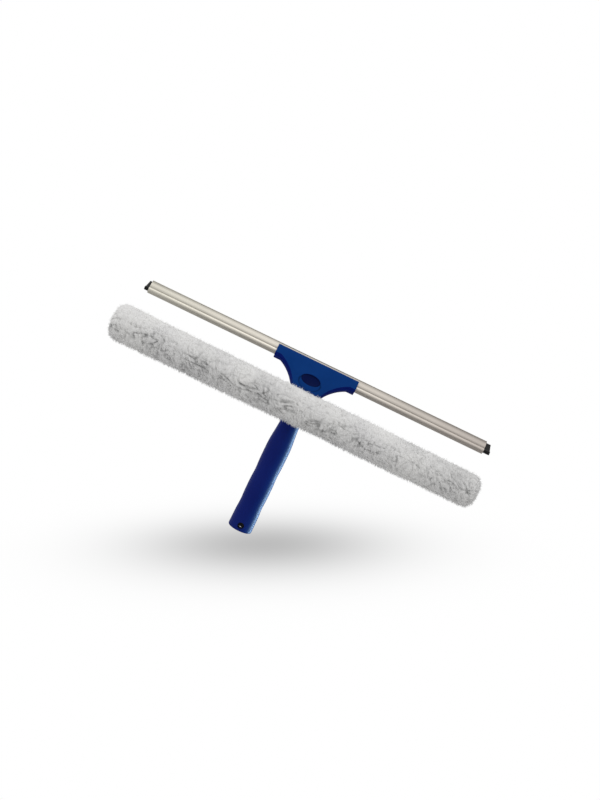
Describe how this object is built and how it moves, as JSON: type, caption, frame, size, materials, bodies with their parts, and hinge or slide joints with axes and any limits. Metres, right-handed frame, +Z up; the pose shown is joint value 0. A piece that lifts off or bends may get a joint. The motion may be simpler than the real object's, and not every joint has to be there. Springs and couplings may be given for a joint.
{
  "type": "window scrubber",
  "caption": "Two-in-one window tool: plush washer sleeve on a lift-off T-bar in front of a locking squeegee channel, on a grip with a pole socket.",
  "frame": {"origin": "centre of the pole socket's mouth, at the lower end of the grip", "axes": "+Z up the handle towards the head, X along the blade and the sleeve, -Y towards the washer side, +Y towards the side the rubber blade faces"},
  "size_m": [0.4695, 0.0972, 0.2246],
  "materials": {
    "grip_plastic": "satin navy plastic",
    "liner_plastic": "black moulded plastic",
    "head_plastic": "smooth blue moulded plastic",
    "button_plastic": "smooth dark blue plastic",
    "inner_plastic": "black moulded plastic",
    "pad_rubber": "dark rubber",
    "blade_rubber": "black squeegee rubber",
    "spring_steel": "drawn spring wire",
    "screw_steel": "plated steel screws",
    "channel_metal": "satin anodised aluminium",
    "tube_plastic": "white extruded plastic",
    "backing_fabric": "knitted white backing",
    "pile_fabric": "white-grey microfibre plush",
    "strip_fabric": "white hook and loop tape"
  },
  "bodies": {
    "handle": {"grip": "grip_plastic", "pole_liner": "liner_plastic", "grip_screw": "screw_steel", "head_frame": "head_plastic", "head_cover": "head_plastic", "cover_screws": "screw_steel", "shoe_spring": "spring_steel"},
    "button": {"release_button": "button_plastic"},
    "shoe": {"lock_shoe": "inner_plastic", "brake_pad": "pad_rubber"},
    "squeegee": {"channel": "channel_metal", "rubber_lock_screw": "screw_steel"},
    "rubber": {"rubber_blade": "blade_rubber"},
    "washer": {"tbar_hub": "head_plastic", "tbar_tube": "tube_plastic", "tbar_cap_left": "inner_plastic", "tbar_cap_right": "inner_plastic", "hub_screws": "screw_steel", "sleeve_backing": "backing_fabric", "sleeve_pile": "pile_fabric", "closure_hook_strip": "strip_fabric", "closure_loop_strip": "strip_fabric"}
  },
  "joints": [
    {"name": "channel_slide", "type": "slide", "parent": "handle", "child": "squeegee", "axis": [1, 0, 0], "range_m": [-0.165, 0.165]},
    {"name": "rubber_slide", "type": "slide", "parent": "squeegee", "child": "rubber", "axis": [1, 0, 0], "range_m": [-0.22, 0.22]},
    {"name": "button_press", "type": "slide", "parent": "handle", "child": "button", "axis": [0, 0.9135, -0.4067], "range_m": [0, 0.0024], "stiffness_N_per_m": 900, "springref_m": -0.002},
    {"name": "shoe_slide", "type": "slide", "parent": "handle", "child": "shoe", "axis": [0, 0.4067, 0.9135], "range_m": [-0.0012, 0], "deforming": ["shoe_spring"]},
    {"name": "tbar_lift", "type": "slide", "parent": "handle", "child": "washer", "axis": [0, 0, 1], "range_m": [0, 0.022]}
  ],
  "couplings": [
    {"joint": "shoe_slide", "follows": "button_press", "ratio": -0.5}
  ]
}
